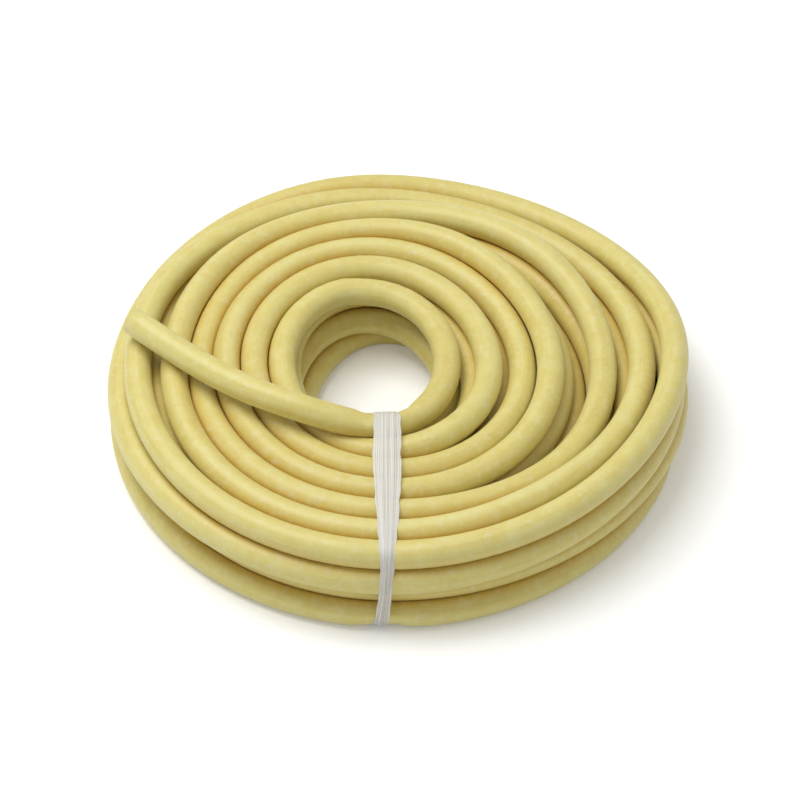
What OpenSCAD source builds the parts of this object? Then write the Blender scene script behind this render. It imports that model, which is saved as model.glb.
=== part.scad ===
// Coil of soft latex laboratory tubing, tied once at the front with a strip of split film.
// The coil lies flat on Z = 0 with its middle at the origin. -Y is the front, where the strip is.
// The hole sits left of the middle and a little forward, so the turns lie close on the left and
// apart on the right.

/* [Tube] */
// Outside diameter of the tube
tube_od = 9; // [7:0.5:11]
// Bore of the tube
tube_bore = 6; // [3:0.5:6.5]
// How far the lowest turns flatten where they rest
rest_flat = 0.3; // [0.1:0.05:0.6]

/* [Coil] */
// Width across the outermost turns
coil_d = 189; // [170:1:230]
// Clear width of the hole in the middle
hole_d = 58; // [50:1:70]
// How far the hole sits to the left of the middle
hole_shift = 11; // [0:0.5:12]
// How far the hole sits forward of the middle
hole_forward = 5; // [2:0.5:7]
// Turns that lie side by side in one layer
turns_across = 7; // [6:1:8]
// Layers of turns lying on each other
layers = 4; // [3:1:6]
// Height from one layer to the next
layer_rise = 8.3; // [6:0.1:8.6]
// Height over the turns' centres at which neighbouring turns run together
valley_lift = 1.5; // [1:0.1:2.5]

/* [Free end] */
// Length of the straight cut tip
tip_len = 14; // [8:1:24]
// Where the free end leaves the innermost turn, in degrees round the hole
leave_angle = -94; // [-100:1:-90]
// How far round the hole the free end needs room to climb, in degrees
climb_angle = 34; // [32:1:60]
// Clear space kept between the free end and the turns
free_gap = 0.3; // [0.1:0.05:0.6]

/* [Binding strip] */
// Width of the strip
tie_w = 8; // [5:0.5:10]
// Thickness of the gathered strip
tie_t = 0.5; // [0.3:0.1:1]
// Sideways place of the strip
tie_x = -5; // [-6:0.5:0]
// How far the strip pulls into the turns
tie_squeeze = 1.5; // [0.5:0.1:2]
// Radius of the strip's bends round the bundle
tie_bend = 7; // [4:0.5:10]
// Clear space kept between the strip and the turns
tie_gap = 0.2; // [0.1:0.05:0.4]
// Height of the strip's knot over the floor
knot_z = 15; // [13:1:18]
// Thickness of the knot
knot_d = 4.5; // [3:0.5:6]
// Length of the strip's two tails below and above the knot
tail_len = 9; // [5:1:12]

/* [Hidden] */
$fn = 96;

latex = "#dccb86";
film = "#f2f0ea";

tube_r = tube_od / 2;
bore_r = tube_bore / 2;

// Heights of the lowest and highest turns' centres, and of the coil's top.
low_z = tube_r - rest_flat;
high_z = low_z + (layers - 1) * layer_rise;
top_z = high_z + tube_r;

// Radii of the outermost and innermost turns' centres.
outer_r = coil_d / 2 - tube_r;
inner_r = hole_d / 2 + tube_r;
last_turn = turns_across - 1;

// Middle and radius of turn k, from 0 at the hole to last_turn outside.
function turn_mid(k) = [-hole_shift, -hole_forward, 0] * (1 - k / last_turn);
function turn_r(k) = inner_r + (outer_r - inner_r) * k / last_turn;

// The free end's route over the coil: X, Y and height over the top layer's centres.
// It starts at the innermost turn, climbs beside the strip and crosses the left-hand turns.
free_sides = 12;
leave_point = turn_mid(0) + inner_r * [cos(leave_angle), sin(leave_angle), 0];
leave_dir = [sin(leave_angle), -cos(leave_angle), 0];
free_route = [
    leave_point, leave_point + [-4, 0.6, 1.8],
    [-22, -37.2, 5], [-27, -36.6, 7.8], [-33, -35.4, 9.2], [-39, -33, 9.3], [-46, -29.2, 9.3],
    [-54, -23.5, 9.3], [-62, -16.9, 9.3], [-69, -10.5, 9.3], [-76, -4, 9.3]
];
free_last = len(free_route) - 1;
tip_dir = unit(free_route[free_last] - free_route[free_last - 1]);

// The strip runs round the bundle's section: these are the section's sides inside the strip.
tie_y_front = -coil_d / 2 + tie_squeeze;
tie_y_hole = turn_mid(0).y - sqrt(pow(hole_d / 2, 2) - pow(tie_x - turn_mid(0).x, 2)) - tie_squeeze;
tie_z_low = tie_t + 2 * tie_gap;
tie_z_high = top_z - tie_squeeze;
tie_reach = coil_d;
knot_seat = 0.4;
tail_w = tie_w - knot_d / 2;
tail_lean = 20;

function unit(v) = v / norm(v);

// Direction of a route at point i: along the line between its neighbours.
function route_dir(route, i) =
    i == 0 ? leave_dir : unit(route[min(i + 1, len(route) - 1)] - route[i - 1]);

// One ring of points of radius r, square to the route at point i.
function route_ring(route, i, r) =
    let (d = route_dir(route, i), side = unit(cross(d, [0, 0, 1])), up = cross(side, d))
    [for (s = [0:free_sides - 1]) let (a = 360 * s / free_sides)
        route[i] + r * (cos(a) * side + sin(a) * up)];

// Section of the turns at radius r, one round on each layer.
module layer_rounds(r)
    for (i = [0:layers - 1])
        translate([r, low_z + i * layer_rise]) circle(tube_r);

// The body of the coil, out to the rounds of its outer wall.
module coil_block()
    rotate_extrude() {
        translate([0, low_z - valley_lift])
            square([outer_r, high_z - low_z + 2 * valley_lift]);
        layer_rounds(outer_r);
    }

// The round back of turn k where it shows above (side = 1) or below (side = -1) the block.
module turn_back(k, z, side)
    translate(turn_mid(k) + [0, 0, z])
        rotate_extrude() intersection() {
            translate([turn_r(k), 0]) circle(tube_r);
            translate([turn_r(k), side * (valley_lift + tube_r) / 2])
                square([tube_od, tube_r], center = true);
        }

// The hole, with the rounds of its own wall left standing.
module hole_cut()
    translate(turn_mid(0))
        rotate_extrude() difference() {
            translate([0, -tube_od]) square([inner_r, top_z + 2 * tube_od]);
            layer_rounds(inner_r);
        }

// The top turn at the hole ends here, so that the free end can climb out of its place.
module climb_cut()
    translate(turn_mid(0) + [0, 0, high_z - tube_r - free_gap])
        rotate([0, 0, leave_angle - climb_angle])
            rotate_extrude(angle = climb_angle)
                square([inner_r + tube_r + free_gap, 2 * tube_od]);

// A rectangle in the section's plane with rounded corners, grown by g on every side.
module bundle_section(g) {
    r = tie_bend + g;
    low = [tie_y_front - g, tie_z_low - g];
    size = [tie_y_hole - tie_y_front + 2 * g, tie_z_high - tie_z_low + 2 * g];
    translate(low + [r, 0]) square(size - [2 * r, 0]);
    translate(low + [0, r]) square(size - [0, 2 * r]);
    for (y = [r, size.x - r], z = [r, size.y - r])
        translate(low + [y, z]) circle(r);
}

// A slice of the section, of width w along X, at the strip's place.
module strip_slice(w)
    translate([tie_x - w / 2, 0, 0]) rotate([90, 0, 90]) linear_extrude(w) children();

// What the strip presses out of the turns: all that lies outside the bundle's section.
module strip_groove()
    strip_slice(tie_w + 2 * tie_gap) difference() {
        translate([-tie_reach, -tube_od]) square([tie_reach, top_z + 2 * tube_od]);
        bundle_section(0);
    }

module tubing_coil() color(latex)
    difference() {
        union() {
            difference() {
                coil_block();
                hole_cut();
            }
            for (k = [0:last_turn - 1]) {
                turn_back(k, high_z, 1);
                turn_back(k, low_z, -1);
            }
        }
        climb_cut();
        strip_groove();
        translate([0, 0, -tube_od]) cylinder(h = tube_od, d = coil_d + tube_od);
    }

// The free end: a hollow tube swept along its route.
module free_end() color(latex) {
    n = len(free_route);
    m = free_sides;
    outer = [for (i = [0:n - 1]) each route_ring(free_route, i, tube_r)];
    inner = [for (i = [0:n - 1]) each route_ring(free_route, i, bore_r)];
    q = n * m;
    e = (n - 1) * m;
    walls = [for (i = [0:n - 2], s = [0:m - 1]) let (t = (s + 1) % m, a = i * m)
        each [[a + s, a + m + s, a + m + t, a + t],
              [q + a + t, q + a + m + t, q + a + m + s, q + a + s]]];
    mouths = [for (s = [0:m - 1]) let (t = (s + 1) % m)
        each [[s, t, q + t, q + s], [e + t, e + s, q + e + s, q + e + t]]];
    translate([0, 0, high_z])
        polyhedron(points = concat(outer, inner), faces = concat(walls, mouths), convexity = 6);
}

// The straight tip with its square-cut mouth.
module cut_tip() color(latex)
    translate(free_route[free_last] + [0, 0, high_z])
        rotate([0, 90, atan2(tip_dir.y, tip_dir.x)])
            difference() {
                cylinder(h = tip_len, d = tube_od);
                translate([0, 0, -tube_od]) cylinder(h = tip_len + 2 * tube_od, d = tube_bore);
            }

// A plain knot: a short fat roll across the strip, rounded at both ends.
module knot()
    translate([tie_x, tie_y_hole + tie_gap + tie_t + knot_d / 2 - knot_seat, knot_z]) {
        rotate([0, 90, 0]) cylinder(h = tie_w - knot_d, d = knot_d, center = true);
        for (side = [-1, 1])
            translate([side * (tie_w - knot_d) / 2, 0, 0]) sphere(d = knot_d);
    }

// One loose end of the strip, leaning out of the knot.
module tail(lean)
    translate([tie_x, tie_y_hole + tie_gap + tie_t + knot_d / 2 - knot_seat, knot_z])
        rotate([lean, 0, 0])
            translate([-tail_w / 2, -tie_t / 2, 0]) cube([tail_w, tie_t, knot_d / 2 + tail_len]);

// The strip: a band round the bundle, its knot on the hole's wall and two short tails.
module binding_strip() color(film) {
    strip_slice(tie_w) difference() {
        bundle_section(tie_gap + tie_t);
        bundle_section(tie_gap);
    }
    knot();
    tail(-tail_lean);
    tail(180 + tail_lean);
}

tubing_coil();
free_end();
cut_tip();
binding_strip();
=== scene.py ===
# %% [markdown]
# A coil of soft latex laboratory tubing, about ten metres of one tube of 6 mm bore and 9 mm
# outside diameter. It is wound flat, in layers round a hole that sits left of the middle, and a
# strip of white split film ties it at the front. One cut end lies loose over the left-hand turns.
#
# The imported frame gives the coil's width and height, the tube's width and the strip's place.
# Everything here is in metres, +Z up, with the coil lying on Z = 0 and its middle at the origin.
# -Y is the front, where the strip is.

# %% Load the frame
import math

import bpy
import numpy as np
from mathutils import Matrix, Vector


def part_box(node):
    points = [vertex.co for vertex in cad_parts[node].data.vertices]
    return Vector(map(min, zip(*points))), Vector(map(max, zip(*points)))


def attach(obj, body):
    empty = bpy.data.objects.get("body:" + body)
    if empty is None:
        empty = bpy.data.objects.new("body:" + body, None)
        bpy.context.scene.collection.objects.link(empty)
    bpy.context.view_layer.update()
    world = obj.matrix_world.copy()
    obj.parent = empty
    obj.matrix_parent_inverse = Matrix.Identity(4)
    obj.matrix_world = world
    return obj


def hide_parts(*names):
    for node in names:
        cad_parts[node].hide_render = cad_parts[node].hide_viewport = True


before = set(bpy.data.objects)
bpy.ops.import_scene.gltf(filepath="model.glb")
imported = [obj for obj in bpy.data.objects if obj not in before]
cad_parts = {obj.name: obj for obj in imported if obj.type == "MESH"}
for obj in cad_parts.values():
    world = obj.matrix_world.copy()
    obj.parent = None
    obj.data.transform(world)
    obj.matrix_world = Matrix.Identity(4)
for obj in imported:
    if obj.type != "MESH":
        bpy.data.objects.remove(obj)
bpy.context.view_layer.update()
coil_low, coil_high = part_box("tubing_coil")
tip_low, tip_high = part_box("cut_tip")
strip_low, strip_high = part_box("binding_strip")

MM = 0.001
TUBE_D = round(tip_high[2] - tip_low[2], 4)
BORE_D = 6 * MM
COIL_HALF = round((coil_high[0] - coil_low[0]) / 2, 4)
TOP_LAYER = round(coil_high[2] - TUBE_D / 2, 4)
STRIP_X = round((strip_low[0] + strip_high[0]) / 2, 4)
print("coil is", 2 * COIL_HALF, "m across, its top turns lie at", TOP_LAYER, "and the strip at", STRIP_X)

# %% [markdown]
# The camera comes first, so that each piece can be looked at as soon as it is made. It looks
# down at the coil from the front, at about 45 degrees, from a little under a metre. A long lens
# keeps the far turns nearly as large as the near ones.

# %% The camera
CAMERA_TILT = math.radians(44.5)
CAMERA_DISTANCE = 0.95
CAMERA_TARGET = (0.0, -3.9 * MM, 11.0 * MM)
CAMERA_ANGLE = math.radians(15.72)


def make_camera():
    data = bpy.data.cameras.new("camera")
    data.sensor_fit = "HORIZONTAL"
    data.angle = CAMERA_ANGLE
    camera = bpy.data.objects.new("camera", data)
    bpy.context.scene.collection.objects.link(camera)
    back = CAMERA_DISTANCE * math.cos(CAMERA_TILT)
    up = CAMERA_DISTANCE * math.sin(CAMERA_TILT)
    x, y, z = CAMERA_TARGET
    camera.location = (x, y - back, z + up)
    camera.rotation_euler = (math.pi / 2 - CAMERA_TILT, 0, 0)
    bpy.context.scene.camera = camera
    return camera


make_camera()
print("camera stands", CAMERA_DISTANCE, "m away")

# %% [markdown]
# The tube's path. A machine winds such a coil in layers: out from the hole to the rim, then back
# over the layer below. It could be drawn as stacked rings, but real turns shift from ring to ring,
# climb at the rim and the hole, and never lie quite even. So one line is wound here as the hands
# do it: each turn keeps to its ring for a while and then shifts over to the next, from an oval
# round the hole to a wide rim that is round but for a slight flat at the front right.

# %% The wound line
HOLE_MIDDLE = (-12 * MM, -2 * MM)
HOLE_HALF = (28 * MM, 38 * MM)
RIM_RADIUS = COIL_HALF - TUBE_D / 2 - 0.5 * MM
RIM_FLAT = 2.5 * MM
RIM_FLAT_SIDE = math.radians(-40)
# turns in each layer, from the lowest, and where each starts and ends: 0 at the hole, 1 at the rim
LAYERS = ((6.45, 0.0, 1.0), (6.5, 1.0, 0.0), (6.6, 0.0, 1.0), (6.6, 1.0, 0.0))
RINGS = 7
# a turn keeps to its ring for this share of the way round, and then shifts to the next
SHIFT_FROM = 0.45
LAYER_RISE = 8.9 * MM
CLIMB_TURNS = 0.2
END_ANGLE = math.radians(-86)
POINTS_A_TURN = 360


def eased(share):
    return share * share * (3 - 2 * share)


def rim_radius(angle):
    return RIM_RADIUS - RIM_FLAT * np.maximum(np.cos(angle - RIM_FLAT_SIDE), 0) ** 4


def between_hole_and_rim(share, angle):
    x = HOLE_MIDDLE[0] + HOLE_HALF[0] * np.cos(angle)
    y = HOLE_MIDDLE[1] + HOLE_HALF[1] * np.sin(angle)
    rim = rim_radius(angle)
    return x + (rim * np.cos(angle) - x) * share, y + (rim * np.sin(angle) - y) * share


def rings_and_heights(turn):
    """How far out the line lies at each place, and how high, layer by layer."""
    share = np.zeros_like(turn)
    height = np.full_like(turn, TUBE_D / 2)
    start = 0.0
    for n, (turns, first, last) in enumerate(LAYERS):
        here = turn >= start
        gone = turn[here] - start
        shift = np.clip((gone % 1 - SHIFT_FROM) / (1 - SHIFT_FROM), 0, 1)
        ring = np.floor(gone) + eased(shift)
        share[here] = first + (last - first) * np.minimum(ring / (RINGS - 1), 1)
        if n > 0:
            height += eased(np.clip((turn - start) / CLIMB_TURNS + 0.5, 0, 1)) * LAYER_RISE
        start += turns
    return share, height


print("the line winds", round(sum(layer[0] for layer in LAYERS), 2), "turns in", len(LAYERS), "layers")

# %% [markdown]
# No hand lays a turn quite true. Each turn is carried a little sideways and up or down by a few
# slow waves, whose lengths don't fit the turns, so that no two turns wander alike. The sideways
# waves die out at the hole and at the rim, where the turns are held.

# %% The wander of the turns
# each kind of wave: its size, its slowest rate in waves a turn, and the step from rate to rate
SIDE_WAVES = (2.6 * MM, 0.37, 0.41)
HEIGHT_WAVES = (0.4 * MM, 0.3, 0.5)
WAVES = 5
FULL_ANGLE = 6.28
HELD_POWER = 6


def wave(rng, turn, kind, k):
    size, slowest, step = kind
    tall = rng.normal(0, size)
    return tall * np.cos(2 * np.pi * turn * (slowest + step * k) + rng.uniform(0, FULL_ANGLE))


def wound_line(rng):
    total = sum(layer[0] for layer in LAYERS)
    turn = np.linspace(0, total, int(total * POINTS_A_TURN))
    angle = END_ANGLE + 2 * np.pi * (total - turn)
    share, height = rings_and_heights(turn)
    wander = np.zeros_like(turn)
    lift = np.zeros_like(turn)
    for k in range(WAVES):
        wander += wave(rng, turn, SIDE_WAVES, k)
        lift += wave(rng, turn, HEIGHT_WAVES, k)
    wander *= (1 - share ** HELD_POWER) * (1 - (1 - share) ** HELD_POWER)
    x, y = between_hole_and_rim(share, angle)
    x += wander * np.cos(angle)
    y += wander * np.sin(angle)
    return np.stack([x, y, height + lift], 1)


print(WAVES, "waves of about", round(SIDE_WAVES[0] / MM, 1), "mm carry the turns sideways")

# %% [markdown]
# The loose end. It is the last stretch of the same tube: it climbs out of the innermost turn
# beside the strip, crosses the left-hand turns and ends at the rim. Its points are listed one by one,
# as its way over the turns is what the eye follows, and they are joined on to the wound line.

# %% The loose end's route
# the seed of the waves, picked from sixteen: its turns lie flat and its outline is near the photo's
WINDING = 2
LOOSE_END = np.array([
    (-0.0133, -0.0384, 0), (-0.0173, -0.0378, 0.0018), (-0.022, -0.0372, 0.005),
    (-0.027, -0.0366, 0.0078), (-0.033, -0.0354, 0.0092), (-0.039, -0.033, 0.0093),
    (-0.046, -0.0292, 0.0093), (-0.054, -0.0235, 0.0093), (-0.062, -0.0169, 0.0093),
    (-0.069, -0.0105, 0.0093), (-0.076, -0.004, 0.0093), (-0.0863, 0.0055, 0.0093),
]) + np.array([0, 0, TOP_LAYER])
STEP = 4.5 * MM
JOIN_EVENING = 8


def distances(line):
    return np.r_[0, np.cumsum(np.linalg.norm(np.diff(line, axis=0), axis=1))]


def resample(line, step):
    along = distances(line)
    at = np.linspace(0, along[-1], int(round(along[-1] / step)) + 1)
    return np.stack([np.interp(at, along, line[:, k]) for k in range(3)], 1)


def evened(move, stride=1):
    """Each value drawn halfway to the middle of its two neighbours."""
    out = move.copy()
    s = stride
    out[s:-s] = 0.5 * move[s:-s] + 0.25 * (move[:-2 * s] + move[2 * s:])
    return out


def whole_line():
    line = np.concatenate([wound_line(np.random.default_rng(WINDING)), LOOSE_END])
    line = resample(line, STEP)
    for _ in range(JOIN_EVENING):
        line = evened(line)
    return resample(line, STEP)


plan = whole_line()
print("the plan has", len(plan), "points,", round(float(distances(plan)[-1]), 2), "m of tube")

# %% [markdown]
# Settling. The wound line is only a plan: its turns cross through each other on the tight side
# and hang apart on the wide side. Blender could drop it as a chain of rigid links, but more than
# two thousand of them would take long and tend to shake. Here each round lets the line sink a
# little, pushes apart what overlaps, and evens the moves out along the tube, as the rubber's own
# stiffness does. The first need is a quick way to find the strands that lie close together.

# %% Find what lies close together
# two points no more than this many steps apart lie on the same strand
SAME_STRAND = 7
NEAR_REACH = TUBE_D + 2 * MM


def near_pairs(line, reach):
    """Pairs of points on different strands within reach, found by sorting them into cells."""
    cell = np.floor(line / reach).astype(int)
    cell -= cell.min(0)
    size = cell.max(0) + 3
    key = ((cell[:, 0] + 1) * size[1] + cell[:, 1] + 1) * size[2] + cell[:, 2] + 1
    order = np.argsort(key, kind="stable")
    ranked = key[order]
    firsts = []
    seconds = []
    for dx in (-1, 0, 1):
        for dy in (-1, 0, 1):
            for dz in (-1, 0, 1):
                other = key + (dx * size[1] + dy) * size[2] + dz
                low = np.searchsorted(ranked, other, "left")
                count = np.searchsorted(ranked, other, "right") - low
                first = np.repeat(np.arange(len(line)), count)
                offset = np.arange(count.sum()) - np.repeat(np.cumsum(count) - count, count)
                second = order[np.repeat(low, count) + offset]
                keep = second - first > SAME_STRAND
                firsts.append(first[keep])
                seconds.append(second[keep])
    first = np.concatenate(firsts)
    second = np.concatenate(seconds)
    keep = np.linalg.norm(line[first] - line[second], axis=1) < reach
    return first[keep], second[keep]


print("in the plan,", len(near_pairs(plan, TUBE_D)[0]), "pairs of points lie closer than the tube is wide")

# %% How two strands touch
TOUCH = 8.75 * MM
PUSH_SHARE = 0.7
SIDEWAYS_SHARE = 0.6


def directions(line):
    ahead = np.gradient(line, axis=0)
    return ahead / np.linalg.norm(ahead, axis=1)[:, None]


def contacts(line, first, second, ahead):
    """The shortest way from the second strand to the first, and how much each pair counts."""
    gap = line[first] - line[second]
    slide = (gap * ahead[second]).sum(1)
    gap -= slide[:, None] * ahead[second]
    return gap, np.linalg.norm(gap, axis=1) + 1e-9, np.maximum(0, 1 - np.abs(slide) / STEP)


def pushed_apart(line, first, second, ahead):
    """How far each point is pushed by the strands that overlap it, less sideways than upwards."""
    gap, far, weight = contacts(line, first, second, ahead)
    push = gap * (0.5 * weight * np.maximum(TOUCH - far, 0) / far)[:, None]
    shove = np.stack([np.bincount(first, push[:, k], len(line))
                      - np.bincount(second, push[:, k], len(line)) for k in range(3)], 1) * PUSH_SHARE
    shove[:, :2] *= SIDEWAYS_SHARE
    return evened(evened(shove))


print("strands touch when their middles are", round(TOUCH / MM, 2), "mm apart")

# %% [markdown]
# Three things hold the turns while they settle. The rim keeps the outermost turns round and lets
# none far out. The strip pulls the turns under it down. The loose end was laid on by hand, so it
# keeps its way over the turns and only sinks a little.

# %% What holds the turns
RIM_BAND = 1 * MM
RIM_SLACK = 1.5 * MM
RIM_PULL = 0.5
RIM_HOLD = 0.3
# the strip goes round what lies in front of this line
FRONT = -20 * MM
STRIP_HOLD_WIDTH = 8 * MM
STRIP_HOLD_TOP = 27.5 * MM
STRIP_PULL = 0.3
LOOSE_LENGTH = 100 * MM
LOOSE_POINTS = int(round(LOOSE_LENGTH / STEP))
LOOSE_SINK = 1 * MM


def out_and_rim(line):
    """How far out each point lies, and how far out the rim is there."""
    return np.hypot(line[:, 0], line[:, 1]), rim_radius(np.arctan2(line[:, 1], line[:, 0]))


def under_strip():
    hold = np.exp(-((plan[:, 0] - STRIP_X) / STRIP_HOLD_WIDTH) ** 2) * (plan[:, 1] < FRONT)
    hold[-LOOSE_POINTS:] = 0
    return hold


def at_rim():
    out, rim = out_and_rim(plan)
    hold = out > rim - RIM_BAND
    hold[-LOOSE_POINTS:] = False
    return hold


def held_to_rim(line, rim_turns):
    """The sideways move, as a share of the way out, that the rim gives."""
    out, rim = out_and_rim(line)
    back = np.minimum(0, rim + RIM_SLACK - out) * RIM_PULL / out
    return back + np.where(rim_turns, np.maximum(0, rim - out), 0) * RIM_HOLD / out


print(int(at_rim().sum()), "points are held at the rim,", int((under_strip() > 0.5).sum()), "by the strip")

# %% Settle the turns
REST_FLAT = 0.3 * MM
LOWEST = TUBE_D / 2 - REST_FLAT
SETTLE_ROUNDS = 450
SINK = 0.08 * MM
# the last rounds, from this share of them on, sink at this share of the speed
SLOW_ROUNDS_FROM = 0.7
SLOW_SINK = 0.25
PAIRS_EVERY = 8
PUSHES = 3
STIFFNESS = 0.3
LAST_EVENING = 6


def settled():
    rim_turns = at_rim()
    strip = under_strip()
    move = np.zeros_like(plan)
    for n in range(SETTLE_ROUNDS):
        if n % PAIRS_EVERY == 0:
            first, second = near_pairs(plan + move, NEAR_REACH)
            ahead = directions(plan + move)
        slow = 1 if n < SETTLE_ROUNDS * SLOW_ROUNDS_FROM else SLOW_SINK
        move[:, 2] -= SINK * slow
        for _ in range(PUSHES):
            move += pushed_apart(plan + move, first, second, ahead)
            move[:, 2] = np.maximum(move[:, 2], LOWEST - plan[:, 2])
        move = (1 - STIFFNESS) * move + STIFFNESS * evened(evened(move, 2), 2)
        line = plan + move
        move[:, :2] += line[:, :2] * held_to_rim(line, rim_turns)[:, None]
        move[-LOOSE_POINTS:, :2] = 0
        move[-LOOSE_POINTS:, 2] = np.maximum(move[-LOOSE_POINTS:, 2], -LOOSE_SINK)
        move[:, 2] -= STRIP_PULL * strip * np.maximum(line[:, 2] - STRIP_HOLD_TOP, 0)
        move[:, 2] = np.maximum(move[:, 2], LOWEST - plan[:, 2])
    for _ in range(LAST_EVENING):
        move = evened(move)
    line = plan + move
    for _ in range(LAST_EVENING):
        line[-2 * LOOSE_POINTS:-1] = evened(line[-2 * LOOSE_POINTS - 1:])[1:-1]
    far, weight = contacts(line, first, second, ahead)[1:]
    print("turns settled, least distance", round(float(far[weight > 0.5].min()) / MM, 2), "mm")
    return line


centre = settled()

# %% [markdown]
# The tube's skin. A curve with a bevel would make a round tube, but soft tubing that lies under
# its own weight is pressed flat where turns touch. So the skin is a mesh of rings, and every
# point of a ring that would stand inside a neighbour is brought back to the plane between them.
# The same step notes how deep in a valley each point lies, for a painted amber glow between turns.

# %% Rings along the line
SIDES = 24


def along_frames(line):
    """Directions ahead, to the side and up, carried along the line without twisting."""
    ahead = directions(line)
    side = np.zeros_like(line)
    side[0] = np.cross(ahead[0], (0, 0, 1))
    for n in range(1, len(line)):
        side[n] = side[n - 1] - ahead[n] * side[n - 1].dot(ahead[n])
        side[n] /= np.linalg.norm(side[n])
    side[0] /= np.linalg.norm(side[0])
    return ahead, side, np.cross(ahead, side)


def ring_points(line, radius):
    ahead, side, up = along_frames(line)
    turn = np.linspace(0, 2 * np.pi, SIDES, endpoint=False)
    spoke = np.cos(turn)[None, :, None] * side[:, None] + np.sin(turn)[None, :, None] * up[:, None]
    return line[:, None] + radius * spoke


print("each ring has", SIDES, "points")

# %% Press the rings where strands touch
SOFTNESS = 0.35 * MM
VALLEY_REACH = 1.1 * MM
VALLEY_EVENING = 3


def pressed(rings, line):
    """Presses the rings where strands touch, and tells each point's valley depth for the painted glow."""
    ahead = directions(line)
    painted_valley_glow = np.zeros(rings.shape[:2])
    first, second = near_pairs(line, TUBE_D + 2 * SOFTNESS)
    first, second = np.concatenate([first, second]), np.concatenate([second, first])
    first, second = first[second < len(line) - 1], second[second < len(line) - 1]
    far = [np.linalg.norm(line[second + step] - line[first], axis=1) for step in (-1, 0, 1)]
    nearest = (far[1] <= far[0]) & (far[1] < far[2])
    first, second = first[nearest], second[nearest]
    gap, far, _ = contacts(line, first, second, ahead)
    toward = -gap / far[:, None]
    for n in range(len(first)):
        ring = rings[first[n]]
        over = (ring - line[first[n]]) @ toward[n] - far[n] / 2 + SOFTNESS
        close = np.clip((TUBE_D - far[n]) / (2 * SOFTNESS) + 1, 0, 1)
        depth = close * np.exp(np.minimum(over, 0) / VALLEY_REACH)
        painted_valley_glow[first[n]] = np.maximum(painted_valley_glow[first[n]], depth)
        kept = SOFTNESS * (1 - np.exp(-np.maximum(over, 0) / SOFTNESS))
        ring -= np.where(over > 0, over - kept, 0)[:, None] * toward[n]
    rings[:, :, 2] = np.maximum(rings[:, :, 2], 0)
    for _ in range(VALLEY_EVENING):
        painted_valley_glow = evened(painted_valley_glow)
    return rings, painted_valley_glow


outer_rings, painted_valley_glow_share = pressed(ring_points(centre, TUBE_D / 2), centre)
print(round(float((painted_valley_glow_share > 0.5).mean()), 2), "of the skin lies deep between turns")

# %% Helpers for pieces


def new_piece(name, points, faces):
    mesh = bpy.data.meshes.new(name)
    mesh.from_pydata(points.reshape(-1, 3).tolist(), [], faces)
    mesh.polygons.foreach_set("use_smooth", [True] * len(mesh.polygons))
    piece = bpy.data.objects.new(name, mesh)
    bpy.context.scene.collection.objects.link(piece)
    return piece


def add_places(piece, name, places):
    """Stores where each face corner lies on the laid-out surface."""
    layer = piece.data.uv_layers.new(name=name)
    layer.data.foreach_set("uv", np.array(places, dtype=np.float32).reshape(-1))


print("helpers for pieces ready")

# %% The tube
# the bore is seen only at the two cut ends, so it is made this many steps deep
WALL_STEPS = 12
WALL = (TUBE_D - BORE_D) / 2


def tube_bands(count):
    """The two rings, the stretch along the tube and the side of each band of faces."""
    near = count * SIDES
    far = near + WALL_STEPS * SIDES
    bands = [(n * SIDES, (n + 1) * SIDES, n * STEP, (n + 1) * STEP, False) for n in range(count - 1)]
    for n in range(WALL_STEPS - 1):
        for start in (near, far):
            bands.append((start + n * SIDES, start + (n + 1) * SIDES, n * STEP, (n + 1) * STEP, True))
    bands.append((0, near, 0, WALL, True))
    bands.append(((count - 1) * SIDES, far + (WALL_STEPS - 1) * SIDES, 0, WALL, False))
    return bands


def make_tube():
    inner = ring_points(centre, BORE_D / 2)
    points = np.concatenate([outer_rings, inner[:WALL_STEPS], inner[-WALL_STEPS:]])
    faces = []
    places = []
    for a, b, v_a, v_b, inward in tube_bands(len(centre)):
        for s in range(SIDES):
            t = (s + 1) % SIDES
            u, w = s / SIDES, (s + 1) / SIDES
            quad = (a + s, b + s, b + t, a + t)
            place = ((u, v_a), (u, v_b), (w, v_b), (w, v_a))
            faces.append(quad[::-1] if inward else quad)
            places.append(place[::-1] if inward else place)
    piece = new_piece("latex_tubing", points, faces)
    add_places(piece, "tube", places)
    # painted light: every point of the bore takes the full painted amber glow, standing for its shaded
    # inside
    depth = np.concatenate([painted_valley_glow_share.reshape(-1), np.ones(2 * WALL_STEPS * SIDES)])
    painted_valley_glow = piece.data.attributes.new("painted_valley_glow", "FLOAT", "POINT")
    painted_valley_glow.data.foreach_set("value", depth.astype(np.float32))
    piece.data.validate()
    return piece


tubing = make_tube()
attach(tubing, "root")
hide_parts("tubing_coil", "free_end", "cut_tip")
print("tube has", len(tubing.data.polygons), "faces")

# %% [markdown]
# The tie. A strip of split film is passed round the turns at the front and pulled tight. It runs
# straight from crest to crest, so its line is the outline that a string would take round the
# turns' section, drawn in a little where the soft turns give way. The outline is found from the
# tube's own points, and the turns are then pressed in under it, most in the middle of the strip.

# %% An outline drawn tight
STRIP_STATIONS = 260
LOOP_EVENING = 10


def mesh_points(piece):
    points = np.empty(len(piece.data.vertices) * 3)
    piece.data.vertices.foreach_get("co", points)
    return points.reshape(-1, 3)


def hull(points):
    """The outline that a string would take round flat points."""
    points = sorted(map(tuple, points))

    def half(run):
        out = []
        for p in run:
            while len(out) > 1 and ((out[-1][0] - out[-2][0]) * (p[1] - out[-2][1])
                                    - (out[-1][1] - out[-2][1]) * (p[0] - out[-2][0])) <= 0:
                out.pop()
            out.append(p)
        return out[:-1]

    return np.array(half(points) + half(points[::-1]))


def evened_round(loop):
    return 0.5 * loop + 0.25 * (np.roll(loop, 1, 0) + np.roll(loop, -1, 0))


def directions_round(loop):
    ahead = np.roll(loop, -1, 0) - np.roll(loop, 1, 0)
    return ahead / np.linalg.norm(ahead, axis=1)[:, None]


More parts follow.
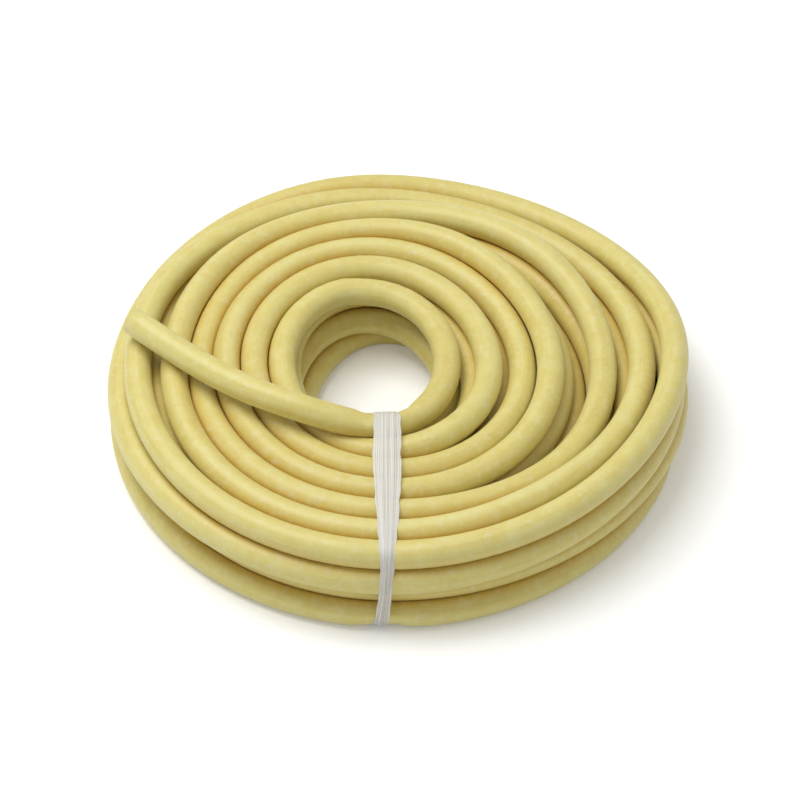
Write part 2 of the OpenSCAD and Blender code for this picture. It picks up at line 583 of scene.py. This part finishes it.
def rounded_loop(corners):
    closed = np.vstack([corners, corners[:1]])
    along = distances(closed)
    at = np.linspace(0, along[-1], STRIP_STATIONS, endpoint=False)
    loop = np.stack([np.interp(at, along, closed[:, k]) for k in range(2)], 1)
    for _ in range(LOOP_EVENING):
        loop = evened_round(loop)
    return loop


def loop_outward(loop):
    ahead = directions_round(loop)
    return np.stack([ahead[:, 1], -ahead[:, 0]], 1)


print("an outline has", STRIP_STATIONS, "stations")

# %% The outline of the turns
STRIP_HALF = 4 * MM
STRIP_SQUEEZE = 0.8 * MM
LOOP_FLOOR = 0.3 * MM


def strip_loop():
    points = mesh_points(tubing)
    here = (np.abs(points[:, 0] - STRIP_X) < STRIP_HALF) & (points[:, 1] < FRONT)
    loop = rounded_loop(hull(points[here][:, 1:]))
    loop -= loop_outward(loop) * STRIP_SQUEEZE
    loop[:, 1] = np.maximum(loop[:, 1], LOOP_FLOOR)
    return loop


strip_line = strip_loop()
print("strip is", round(float(np.ptp(strip_line[:, 0])), 4), "m front to back")

# %% Press the turns in under the strip
PRESS_HALF = 3.5 * MM
PRESS_FADE = 7 * MM


def press_under_strip(loop):
    points = mesh_points(tubing)
    off = np.abs(points[:, 0] - STRIP_X)
    rows = np.nonzero((off < PRESS_HALF + PRESS_FADE) & (points[:, 1] < FRONT))[0]
    outward = loop_outward(loop)
    beyond = points[rows][:, None, 1:] - loop[None]
    outside = (beyond * outward[None]).sum(2)
    worst = outside.argmax(1)
    depth = np.maximum(outside[np.arange(len(rows)), worst], 0)
    fade = eased(np.clip((PRESS_HALF + PRESS_FADE - off[rows]) / PRESS_FADE, 0, 1))
    points[rows, 1:] -= outward[worst] * (depth * fade)[:, None]
    tubing.data.vertices.foreach_set("co", points.reshape(-1))
    tubing.data.update()
    return len(rows)


print("strip presses on", press_under_strip(strip_line), "points")

# %% [markdown]
# The film. Split film is thin and gathers into fine lengthwise pleats. A flat band would look
# like tape, so the strip is a grid with many columns: its width and place change along the loop,
# wide on the top, bunched over the front edge and at the knot, and creases run along it.

# %% Creases, edges and torn ends
FILM_COLUMNS = 45
FILM_CREASES = 11
CREASE_HEIGHT = 0.16 * MM
CREASE_SWAY = 0.12
CREASE_REACH = (0.05, 0.16)
CREASE_SHARE = (0.3, 1.0)
CREASE_SWELL = 0.4
EDGE_WANDER = 0.09 * MM
EDGE_RATES = (5, 11, 19, 31)
TORN_DEPTH = 2.2 * MM
TORN_SWEEP = 1.2 * MM


def crease_heights(rng, along, across):
    """Sharp little ridges that run along the film and wander a little across it."""
    height = np.zeros((len(along), len(across)))
    for _ in range(FILM_CREASES):
        middle = rng.uniform(-1, 1)
        sway = np.sin(along * rng.integers(1, 4) + rng.uniform(0, FULL_ANGLE))
        sway = middle + CREASE_SWAY * sway
        reach = rng.uniform(*CREASE_REACH)
        tall = rng.uniform(*CREASE_SHARE)
        swell = np.sin(along * rng.integers(2, 6) + rng.uniform(0, FULL_ANGLE))
        tall = tall * (1 + CREASE_SWELL * swell)
        height += tall[:, None] * np.exp(-np.abs(across[None] - sway[:, None]) / reach)
    return height


def edge_wander(rng, along):
    edges = 0
    for rate in EDGE_RATES:
        edges = edges + EDGE_WANDER * np.sin(along * rate + rng.uniform(0, FULL_ANGLE))
    return edges


def torn_back(rng, across, line):
    """How far each point of an open ribbon is drawn back, which leaves a torn end."""
    torn = evened_round(rng.uniform(0, 1, FILM_COLUMNS) ** 2 * TORN_DEPTH)
    torn += TORN_SWEEP * (across ** 4 + np.cos(across * 2.3 + 0.6))
    share = np.linspace(0, 1, len(line))[:, None, None] ** 4
    last = line[-1] - line[-2]
    return share * torn[None, :, None] * last / np.linalg.norm(last)


print("film has", FILM_COLUMNS, "columns and", FILM_CREASES, "creases")

# %% The film as a mesh
FILM_THICK = 0.1 * MM
FILM_FLOOR = 0.12 * MM
FLAT_WIDTH = 8.5 * MM
MOST_GATHERED = 2.2


def film_faces(count, rows):
    faces = []
    places = []
    for n in range(rows):
        m = (n + 1) % count
        for c in range(FILM_COLUMNS - 1):
            a, b = n * FILM_COLUMNS + c, m * FILM_COLUMNS + c
            faces.append((a, a + 1, b + 1, b))
            u0, u1 = c / (FILM_COLUMNS - 1), (c + 1) / (FILM_COLUMNS - 1)
            v0, v1 = n / rows, (n + 1) / rows
            places.append(((u0, v0), (u1, v0), (u1, v1), (u0, v1)))
    return faces, places


def film_mesh(name, line, outward, width, lift, seed, closed):
    """A pleated ribbon along a line, its pleats deeper where it is narrow."""
    rng = np.random.default_rng(seed)
    count = len(line)
    across = np.linspace(-1, 1, FILM_COLUMNS)
    along = np.linspace(0, 2 * np.pi, count, endpoint=not closed)
    gather = np.clip(FLAT_WIDTH / width, 1, MOST_GATHERED)
    height = crease_heights(rng, along, across) * (CREASE_HEIGHT * gather)[:, None]
    reach = width[:, None] / 2 * across[None] + edge_wander(rng, along)[:, None] * across[None] ** 8
    points = line[:, None] + outward[:, None] * (lift + height)[:, :, None]
    points[:, :, 0] += reach
    if not closed:
        points -= torn_back(rng, across, line)
    points[:, :, 2] = np.maximum(points[:, :, 2], FILM_FLOOR)
    faces, places = film_faces(count, count if closed else count - 1)
    piece = new_piece(name, points, faces)
    add_places(piece, "film", places)
    solid = piece.modifiers.new("thickness", "SOLIDIFY")
    solid.thickness = FILM_THICK
    solid.offset = 0
    return piece


print("film is", round(FILM_THICK / MM, 2), "mm thick")

# %% The strip round the turns
# stages round the loop: width and sideways place, in millimetres, at the knot, the hole's rim, two
# places on the top, the top's front edge, the front, its foot, the underside and the hole's foot
STRIP_WIDTHS = (3.6, 8.4, 8.9, 6.8, 4.6, 3.8, 4.8, 6.5, 6.5)
STRIP_PLACES = (-5.0, -4.2, -3.9, -3.8, -3.7, -4.3, -6.2, -6.0, -5.4)
STAGE_EVENING = 12
STRIP_LIFT = 0.12 * MM
STRIP_SEED = 5
KNOT_HEIGHT = 15 * MM


def strip_stages(loop):
    """Where each stage lies, in stations from the knot, going up and over the rim to the front."""
    y, z = loop[:, 0], loop[:, 1]
    knot = int(np.argmin(np.abs(z - KNOT_HEIGHT) + 10 * (y < y.mean())))
    rim, edge = int(np.argmax(y + z)), int(np.argmax(z - y))
    foot, heel = int(np.argmin(y + z)), int(np.argmax(y - z))
    marks = [(m - knot) % len(loop) for m in (rim, edge, foot, heel)]
    rim, edge, foot, heel = marks
    top = edge - rim
    front = foot - edge
    return knot, [0, rim, rim + 0.45 * top, rim + 0.75 * top, edge, edge + 0.4 * front, foot,
                  (foot + heel) / 2, heel]


def make_strip():
    knot, stages = strip_stages(strip_line)
    loop = np.roll(strip_line, -knot, 0)
    at = np.arange(len(loop))
    stages = np.array(stages + [len(loop)], dtype=float)
    width = np.interp(at, stages, STRIP_WIDTHS + STRIP_WIDTHS[:1]) * MM
    place = np.interp(at, stages, STRIP_PLACES + STRIP_PLACES[:1]) * MM
    for _ in range(STAGE_EVENING):
        width = evened_round(width)
        place = evened_round(place)
    line = np.column_stack([place, loop])
    outward = np.column_stack([np.zeros(len(loop)), loop_outward(loop)])
    piece = film_mesh("tie_strip", line, outward, width, STRIP_LIFT, STRIP_SEED, True)
    return piece, line[0], outward[0]


strip, knot_place, knot_outward = make_strip()
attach(strip, "root")
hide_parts("binding_strip")
print("strip has", len(strip.data.polygons), "faces, knot at", np.round(knot_place, 4))

# %% [markdown]
# The knot and the tails. The strip's two ends are tied in one overhand knot on the wall of the
# hole. A ball would do from afar, but the knot is seen from behind, so it is the real crossing:
# a ridged cord carried round a trefoil, with the two torn ends fanning out of it.

# %% The knot
KNOT_SIZE = 0.85 * MM
KNOT_CORD = 1.05 * MM
KNOT_STAND = 2.4 * MM
KNOT_RINGS = 120
KNOT_SIDES = 28
KNOT_RIDGES = 7
KNOT_RIDGE_HEIGHT = 0.16
KNOT_FOLDS = 4
KNOT_FOLD_HEIGHT = 0.08


def trefoil(turn):
    return np.stack([np.sin(turn) + 2 * np.sin(2 * turn), -np.sin(3 * turn) * 1.1,
                     np.cos(turn) - 2 * np.cos(2 * turn)], 1) * KNOT_SIZE


def knot_faces():
    faces = []
    for n in range(KNOT_RINGS):
        a, b = n * KNOT_SIDES, (n + 1) % KNOT_RINGS * KNOT_SIDES
        for s in range(KNOT_SIDES):
            t = (s + 1) % KNOT_SIDES
            faces.append((a + s, a + t, b + t, b + s))
    return faces


def make_knot():
    turn = np.linspace(0, 2 * np.pi, KNOT_RINGS, endpoint=False)
    line = trefoil(turn)
    ahead = directions_round(line)
    side = np.cross(ahead, line / np.linalg.norm(line, axis=1)[:, None])
    side /= np.linalg.norm(side, axis=1)[:, None]
    up = np.cross(ahead, side)
    around = np.linspace(0, 2 * np.pi, KNOT_SIDES, endpoint=False)
    ridge = 1 + KNOT_RIDGE_HEIGHT * np.cos(KNOT_RIDGES * around)[None]
    ridge = ridge + KNOT_FOLD_HEIGHT * np.cos(KNOT_FOLDS * around[None] + 3 * turn[:, None])
    radius = KNOT_CORD * ridge * (0.9 + 0.12 * np.cos(3 * turn))[:, None]
    points = (line[:, None] + side[:, None] * (radius * np.cos(around))[:, :, None]
              + up[:, None] * (radius * np.sin(around))[:, :, None])
    return new_piece("tie_knot", points + knot_place + knot_outward * KNOT_STAND, knot_faces())


tie_knot = make_knot()
print("knot has", len(tie_knot.data.polygons), "faces")

# %% The tails
TAIL_STATIONS = 50
TAIL_BOW = (2.5 * MM, 3.0 * MM)
TAIL_WIDTH = 2.2 * MM
TAIL_SPREAD = 5.0 * MM


def make_tail(name, rise, lean, seed):
    """A torn end that leaves the knot upwards or downwards, leans sideways and fans out."""
    share = np.linspace(0, 1, TAIL_STATIONS)
    start = knot_place + knot_outward * KNOT_STAND
    bow = TAIL_BOW[0] * share - TAIL_BOW[1] * share ** 2
    line = start + np.column_stack([lean * share ** 1.3, bow, rise * share])
    outward = np.tile((0.0, 1.0, 0.0), (TAIL_STATIONS, 1))
    return film_mesh(name, line, outward, TAIL_WIDTH + TAIL_SPREAD * np.sqrt(share), 0, seed, False)


lower_tail = make_tail("tie_tail_lower", -13 * MM, 2.5 * MM, 8)
upper_tail = make_tail("tie_tail_upper", 11 * MM, -3 * MM, 9)
for piece in (tie_knot, lower_tail, upper_tail):
    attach(piece, "root")
print("two tails made")

# %% [markdown]
# The latex. Dipped or extruded latex tubing is a matt cream-yellow rubber. A little light goes
# into it, so its shaded valleys glow amber. Its colour drifts along the length, there are faint
# lengthwise lines from making it, and a dusting of fine powder dulls the crests. Noise in object
# space would not follow the turns, so the lines use the tube's own round-and-along coordinates.
# Deep between two turns the light passes from wall to wall, so amber is painted in by the noted depth.

# %% Helpers for patterns


def new_material(name):
    material = bpy.data.materials.new(name)
    material.use_nodes = True
    return material, material.node_tree, material.node_tree.nodes["Principled BSDF"]


def grey(value):
    return (value, value, value)


def noise_of(tree, vector, scale, detail=3.0, rough=0.5):
    noise = tree.nodes.new("ShaderNodeTexNoise")
    noise.inputs["Scale"].default_value = scale
    noise.inputs["Detail"].default_value = detail
    noise.inputs["Roughness"].default_value = rough
    tree.links.new(vector, noise.inputs["Vector"])
    return noise.outputs["Fac"]


def ramp_of(tree, value, stops):
    ramp = tree.nodes.new("ShaderNodeValToRGB")
    while len(ramp.color_ramp.elements) < len(stops):
        ramp.color_ramp.elements.new(0.5)
    for element, (position, color) in zip(ramp.color_ramp.elements, stops):
        element.position = position
        element.color = (*color, 1)
    tree.links.new(value, ramp.inputs["Fac"])
    return ramp.outputs["Color"]


print("helpers for patterns ready")

# %% Helpers for mixing and relief


def sum_of(tree, parts):
    """Adds values, each with its own weight."""
    total = None
    for value, weight in parts:
        node = tree.nodes.new("ShaderNodeMath")
        node.operation = "MULTIPLY_ADD"
        tree.links.new(value, node.inputs[0])
        node.inputs[1].default_value = weight
        node.inputs[2].default_value = 0
        if total is not None:
            tree.links.new(total, node.inputs[2])
        total = node.outputs[0]
    return total


def math_of(tree, operation, value, other=0.0):
    node = tree.nodes.new("ShaderNodeMath")
    node.operation = operation
    tree.links.new(value, node.inputs[0])
    node.inputs[1].default_value = other
    return node.outputs[0]


def mixed(tree, share, first, second):
    """The first colour, which comes from nodes, with a plain second colour mixed in."""
    mix = tree.nodes.new("ShaderNodeMix")
    mix.data_type = "RGBA"
    tree.links.new(share, mix.inputs["Factor"])
    tree.links.new(first, mix.inputs["A"])
    mix.inputs["B"].default_value = (*second, 1)
    return mix.outputs["Result"]


def add_bump(tree, shader, height, strength, distance):
    bump = tree.nodes.new("ShaderNodeBump")
    bump.inputs["Strength"].default_value = strength
    bump.inputs["Distance"].default_value = distance
    tree.links.new(height, bump.inputs["Height"])
    tree.links.new(bump.outputs["Normal"], shader.inputs["Normal"])


print("helpers for mixing and relief ready")

# %% The latex
LATEX_DEEP = (0.65, 0.54, 0.155)
LATEX_MAIN = (0.71, 0.615, 0.20)
LATEX_PALE = (0.75, 0.68, 0.27)
# painted light: this amber, mixed in by valley depth, stands for light passed from wall to wall
PAINTED_GLOW_COLOR = (0.66, 0.46, 0.09)
POWDER = (0.80, 0.76, 0.56)
PAINTED_GLOW_SHARE = 0.8
# how often each pattern repeats: along the tube for the first two, and in space for the rest
LINES_ALONG = 12
DRIFT_ALONG = 5
MOTTLE_SCALE = 170
DUST_SCALE = 420
GRAIN_SCALE = 1300


def round_and_along(tree, rate):
    """A vector that goes round with the tube and slowly along it, with no seam."""
    uv = tree.nodes.new("ShaderNodeUVMap")
    uv.uv_map = "tube"
    parts = tree.nodes.new("ShaderNodeSeparateXYZ")
    tree.links.new(uv.outputs["UV"], parts.inputs[0])
    joined = tree.nodes.new("ShaderNodeCombineXYZ")
    angle = math_of(tree, "MULTIPLY", parts.outputs[0], 2 * math.pi)
    tree.links.new(math_of(tree, "COSINE", angle), joined.inputs[0])
    tree.links.new(math_of(tree, "SINE", angle), joined.inputs[1])
    tree.links.new(math_of(tree, "MULTIPLY", parts.outputs[1], rate), joined.inputs[2])
    return joined.outputs[0]


def make_latex():
    material, tree, shader = new_material("latex")
    place = tree.nodes.new("ShaderNodeTexCoord").outputs["Object"]
    lines = noise_of(tree, round_and_along(tree, LINES_ALONG), 9, 4, 0.6)
    drift = noise_of(tree, round_and_along(tree, DRIFT_ALONG), 1.0, 2)
    mottle = noise_of(tree, place, MOTTLE_SCALE, 4, 0.55)
    shade = sum_of(tree, [(drift, 0.5), (mottle, 0.3), (lines, 0.2)])
    latex = ramp_of(tree, shade, [(0.36, LATEX_DEEP), (0.5, LATEX_MAIN), (0.64, LATEX_PALE)])
    # painted light: the noted valley depth mixes the painted amber glow into the colour
    valley = tree.nodes.new("ShaderNodeAttribute")
    valley.attribute_name = "painted_valley_glow"
    depth = math_of(tree, "MULTIPLY", valley.outputs["Fac"], PAINTED_GLOW_SHARE)
    amber = mixed(tree, depth, latex, PAINTED_GLOW_COLOR)
    dust = ramp_of(tree, noise_of(tree, place, DUST_SCALE, 6, 0.65), [(0.5, grey(0)), (0.75, grey(0.35))])
    tree.links.new(mixed(tree, dust, amber, POWDER), shader.inputs["Base Color"])
    gloss = sum_of(tree, [(mottle, 0.5), (lines, 0.5)])
    rough = ramp_of(tree, gloss, [(0.35, grey(0.38)), (0.65, grey(0.54))])
    tree.links.new(rough, shader.inputs["Roughness"])
    shader.inputs["Subsurface Weight"].default_value = 0.25
    shader.inputs["Subsurface Scale"].default_value = 0.003
    shader.inputs["Subsurface Radius"].default_value = (1.0, 0.6, 0.2)
    shader.inputs["Sheen Weight"].default_value = 0.06
    shader.inputs["Sheen Roughness"].default_value = 0.45
    grain = noise_of(tree, place, GRAIN_SCALE, 3)
    relief = sum_of(tree, [(grain, 0.25), (mottle, 0.5), (lines, 0.5)])
    add_bump(tree, shader, relief, 0.4, 0.2 * MM)
    return material


tubing.data.materials.append(make_latex())
print("latex made")

# %% [markdown]
# The film. Split film is white but thin: where it lies in one layer the yellow turns show
# through, and where it is pleated it is white. So one set of lengthwise streaks drives how much
# shows through, how white it is and how it catches the light.

# %% The film
FILM_WHITE = (0.92, 0.92, 0.90)
FILM_THIN = (0.82, 0.81, 0.76)
FILM_STRETCH = (26, 2.2, 1)


def make_film():
    material, tree, shader = new_material("film")
    uv = tree.nodes.new("ShaderNodeUVMap")
    uv.uv_map = "film"
    stretch = tree.nodes.new("ShaderNodeMapping")
    stretch.inputs["Scale"].default_value = FILM_STRETCH
    tree.links.new(uv.outputs["UV"], stretch.inputs["Vector"])
    streaks = noise_of(tree, stretch.outputs["Vector"], 1.0, 6, 0.65)
    color = ramp_of(tree, streaks, [(0.35, FILM_THIN), (0.6, FILM_WHITE)])
    tree.links.new(color, shader.inputs["Base Color"])
    cover = ramp_of(tree, streaks, [(0.3, grey(0.2)), (0.64, grey(0.8))])
    tree.links.new(cover, shader.inputs["Alpha"])
    gloss = ramp_of(tree, streaks, [(0.3, grey(0.3)), (0.7, grey(0.5))])
    tree.links.new(gloss, shader.inputs["Roughness"])
    add_bump(tree, shader, streaks, 0.6, 0.15 * MM)
    return material


film = make_film()
for piece in (strip, tie_knot, lower_tail, upper_tail):
    piece.data.materials.append(film)
print("film made")

# %% [markdown]
# The floor is white and plain. The camera, and what shines or lets light through, sees it a
# little whiter than it lights the coil, so the background is as bright as in the photo and still
# keeps the coil's shadow. One large lamp and an even sky light the coil softly. The lamp stands
# over the coil, a little to the left and back, as the fronts of the lower turns are the darkest
# in the photo.

# %% The floor
FLOOR_HALF = 3
FLOOR_COLOR = (0.86, 0.86, 0.85, 1)
FLOOR_GLOW = 0.12
SEEING_RAYS = ("Is Camera Ray", "Is Glossy Ray", "Is Transmission Ray")


def make_floor():
    h = FLOOR_HALF
    mesh = bpy.data.meshes.new("floor")
    mesh.from_pydata([(-h, -h, 0), (h, -h, 0), (h, h, 0), (-h, h, 0)], [], [(0, 1, 2, 3)])
    floor = bpy.data.objects.new("floor", mesh)
    bpy.context.scene.collection.objects.link(floor)
    material, tree, shader = new_material("floor")
    shader.inputs["Base Color"].default_value = FLOOR_COLOR
    shader.inputs["Roughness"].default_value = 0.8
    shader.inputs["Specular IOR Level"].default_value = 0.2
    ray = tree.nodes.new("ShaderNodeLightPath")
    rays = sum_of(tree, [(ray.outputs[kind], 1) for kind in SEEING_RAYS])
    plain = tree.nodes.new("ShaderNodeBsdfDiffuse")
    plain.inputs["Color"].default_value = (1, 1, 1, 1)
    glow = tree.nodes.new("ShaderNodeEmission")
    glow.inputs["Strength"].default_value = FLOOR_GLOW
    seen = tree.nodes.new("ShaderNodeAddShader")
    tree.links.new(plain.outputs[0], seen.inputs[0])
    tree.links.new(glow.outputs[0], seen.inputs[1])
    mix = tree.nodes.new("ShaderNodeMixShader")
    tree.links.new(rays, mix.inputs[0])
    tree.links.new(shader.outputs[0], mix.inputs[1])
    tree.links.new(seen.outputs[0], mix.inputs[2])
    tree.links.new(mix.outputs[0], tree.nodes["Material Output"].inputs["Surface"])
    mesh.materials.append(material)
    return floor


make_floor()
print("floor is", 2 * FLOOR_HALF, "m wide")

# %% The lamp and the sky
LAMP_PLACE = (-0.4, 0.2, 1.2)
LAMP_SIZE = 0.8
LAMP_POWER = 11
SKY_STRENGTH = 0.5


def make_lamp():
    data = bpy.data.lights.new("key", "AREA")
    data.size = LAMP_SIZE
    data.energy = LAMP_POWER
    lamp = bpy.data.objects.new("key", data)
    lamp.location = LAMP_PLACE
    x, y, z = LAMP_PLACE
    lamp.rotation_euler = (math.acos(z / math.hypot(x, y, z)), 0, math.atan2(-x, y) + math.pi)
    bpy.context.scene.collection.objects.link(lamp)
    return lamp


def make_sky():
    world = bpy.data.worlds.new("world")
    bpy.context.scene.world = world
    world.use_nodes = True
    sky = world.node_tree.nodes["Background"]
    sky.inputs["Color"].default_value = (1, 1, 1, 1)
    sky.inputs["Strength"].default_value = SKY_STRENGTH


make_lamp()
make_sky()
bpy.context.scene.view_settings.view_transform = "Standard"
print("lamp and sky set")
